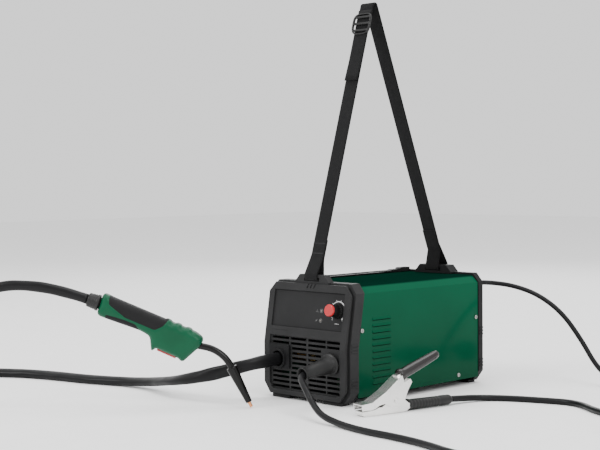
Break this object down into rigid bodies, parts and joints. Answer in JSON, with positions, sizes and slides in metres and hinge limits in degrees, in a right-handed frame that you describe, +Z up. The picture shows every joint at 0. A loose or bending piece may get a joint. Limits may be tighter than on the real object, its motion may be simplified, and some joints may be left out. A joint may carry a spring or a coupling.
{
  "type": "wire-feed welding machine",
  "caption": "Portable wire-feed welding power source with a carrying strap, swan-neck torch on a hose, earth clamp on a lead and a mains lead.",
  "frame": {"origin": "on the floor, under the middle of the housing: the plane of its four feet", "axes": "+Z up, -Y towards the control panel (front), +X to the right of someone facing the rear cover from the front"},
  "size_m": [1.3815, 1.0429, 0.6595],
  "materials": {
    "cover_grey": "fine texture",
    "cover_black": "fine texture",
    "control_grey": "satin",
    "knob_black": "satin",
    "knob_red": "gloss",
    "lamp_lens": "gloss",
    "rubber_black": "matt",
    "rocker_black": "satin",
    "tray_steel": "satin",
    "panel_green": "gloss",
    "screw_steel": "satin",
    "cast_metal": "cast",
    "brass": "satin",
    "motor_grey": "satin",
    "roller_steel": "satin",
    "spool_plastic": "satin",
    "copper_wire": "bright",
    "board_green": "gloss",
    "sink_aluminium": "satin",
    "core_iron": "satin",
    "sleeve_blue": "gloss",
    "webbing": "woven",
    "torch_green": "satin",
    "grip_black": "textured",
    "trigger_red": "satin",
    "neck_black": "gloss",
    "clamp_zinc": "bright zinc",
    "cord_black": "matt",
    "plug_black": "satin"
  },
  "bodies": {
    "housing": {"front_cover": "cover_grey", "rear_cover": "cover_black", "control_plate": "control_grey", "indicator_lamps": "lamp_lens", "hose_gland": "cover_black", "earth_boot": "rubber_black", "mains_gland": "rubber_black", "switch_frame": "cover_black", "base_tray": "tray_steel", "side_casing": "panel_green", "casing_screws": "screw_steel", "hinge_cover": "cover_black", "casing_hinge_leaf": "screw_steel", "divider_plate": "tray_steel", "feeder_frame": "cast_metal", "wire_guides": "brass", "feed_motor": "motor_grey", "spool_post": "cover_black", "spool_nut": "rocker_black", "fan_frame": "cover_black", "power_board": "board_green", "heat_sinks": "sink_aluminium", "transformer": "core_iron", "capacitors": "sleeve_blue", "strap_loops": "webbing", "torch_handle_left": "torch_green", "torch_handle_right": "torch_green", "torch_grips": "grip_black", "torch_collar": "rubber_black", "swan_neck": "neck_black", "nozzle": "neck_black", "contact_tip": "copper_wire", "clamp_lower_arm": "clamp_zinc", "clamp_rivet": "clamp_zinc", "clamp_lower_sleeve": "rubber_black", "hose_run": "cord_black", "hose_coil": "cord_black", "earth_lead_run": "cord_black", "earth_lead_coil": "cord_black", "mains_lead_run": "cord_black", "mains_lead_coil": "cord_black", "mains_plug": "plug_black"},
    "door": {"access_door": "panel_green", "door_hinge_leaf": "screw_steel"},
    "latch": {"door_latch": "rocker_black"},
    "rocker": {"power_rocker": "rocker_black"},
    "knob": {"knob_body": "knob_black", "knob_cap": "knob_red"},
    "fan": {"fan_rotor": "rocker_black"},
    "spool": {"wire_spool": "spool_plastic", "wire_winding": "copper_wire"},
    "drive_roller": {"drive_roller": "roller_steel"},
    "pressure_arm": {"pressure_arm": "cast_metal"},
    "pressure_roller": {"pressure_roller": "roller_steel"},
    "tension_lever": {"tension_lever": "rocker_black"},
    "trigger": {"torch_trigger": "trigger_red"},
    "clamp_jaw": {"clamp_upper_arm": "clamp_zinc", "clamp_upper_sleeve": "rubber_black"},
    "strap": {"strap_webbing": "webbing", "strap_buckle": "rocker_black"}
  },
  "joints": [
    {"name": "knob_turn", "type": "hinge", "parent": "housing", "child": "knob", "pos_m": [0.066, -0.16415, 0.15035], "axis": [0, -0.9867, 0.1628], "range_deg": [-135, 135]},
    {"name": "power_rock", "type": "hinge", "parent": "housing", "child": "rocker", "pos_m": [-0.045, 0.17, 0.15], "axis": [1, 0, 0], "range_deg": [0, 18]},
    {"name": "fan_spin", "type": "hinge", "parent": "housing", "child": "fan", "pos_m": [0.034, 0.15, 0.082], "axis": [0, 1, 0], "continuous": true},
    {"name": "door_swing", "type": "hinge", "parent": "housing", "child": "door", "pos_m": [-0.078, 0, 0.1923], "axis": [0, 1, 0], "range_deg": [0, 110]},
    {"name": "latch_turn", "type": "hinge", "parent": "door", "child": "latch", "pos_m": [-0.09, 0.01, 0.034], "axis": [1, 0, 0], "range_deg": [-90, 0]},
    {"name": "spool_spin", "type": "hinge", "parent": "housing", "child": "spool", "pos_m": [-0.05, 0.04, 0.104], "axis": [1, 0, 0], "continuous": true},
    {"name": "drive_roller_spin", "type": "hinge", "parent": "housing", "child": "drive_roller", "pos_m": [-0.05, -0.085, 0.053], "axis": [1, 0, 0], "continuous": true},
    {"name": "pressure_arm_lift", "type": "hinge", "parent": "housing", "child": "pressure_arm", "pos_m": [-0.055, -0.061, 0.079], "axis": [-1, 0, 0], "range_deg": [0, 30]},
    {"name": "pressure_roller_spin", "type": "hinge", "parent": "pressure_arm", "child": "pressure_roller", "pos_m": [-0.057, -0.085, 0.0753], "axis": [1, 0, 0], "continuous": true},
    {"name": "tension_lever_swing", "type": "hinge", "parent": "housing", "child": "tension_lever", "pos_m": [-0.0705, -0.112, 0.054], "axis": [1, 0, 0], "range_deg": [0, 50]},
    {"name": "trigger_pull", "type": "hinge", "parent": "housing", "child": "trigger", "pos_m": [-0.10232, -0.35732, 0.089], "axis": [-0.7071, 0.7071, 0], "range_deg": [0, 5], "stiffness_Nm_per_rad": 0.3},
    {"name": "clamp_open", "type": "hinge", "parent": "housing", "child": "clamp_jaw", "pos_m": [0.1697, -0.15459, 0.0195], "axis": [-0.9781, 0.2079, 0], "range_deg": [0, 20], "stiffness_Nm_per_rad": 2.5, "springref_deg": -8.59},
    {"name": "strap_swing", "type": "hinge", "parent": "housing", "child": "strap", "pos_m": [0, 0, 0.2085], "axis": [0, 1, 0], "range_deg": [-60, 60]}
  ],
  "couplings": [
    {"joint": "pressure_roller_spin", "follows": "drive_roller_spin", "ratio": -1.4444},
    {"joint": "pressure_arm_lift", "follows": "tension_lever_swing", "ratio": 0.6}
  ]
}
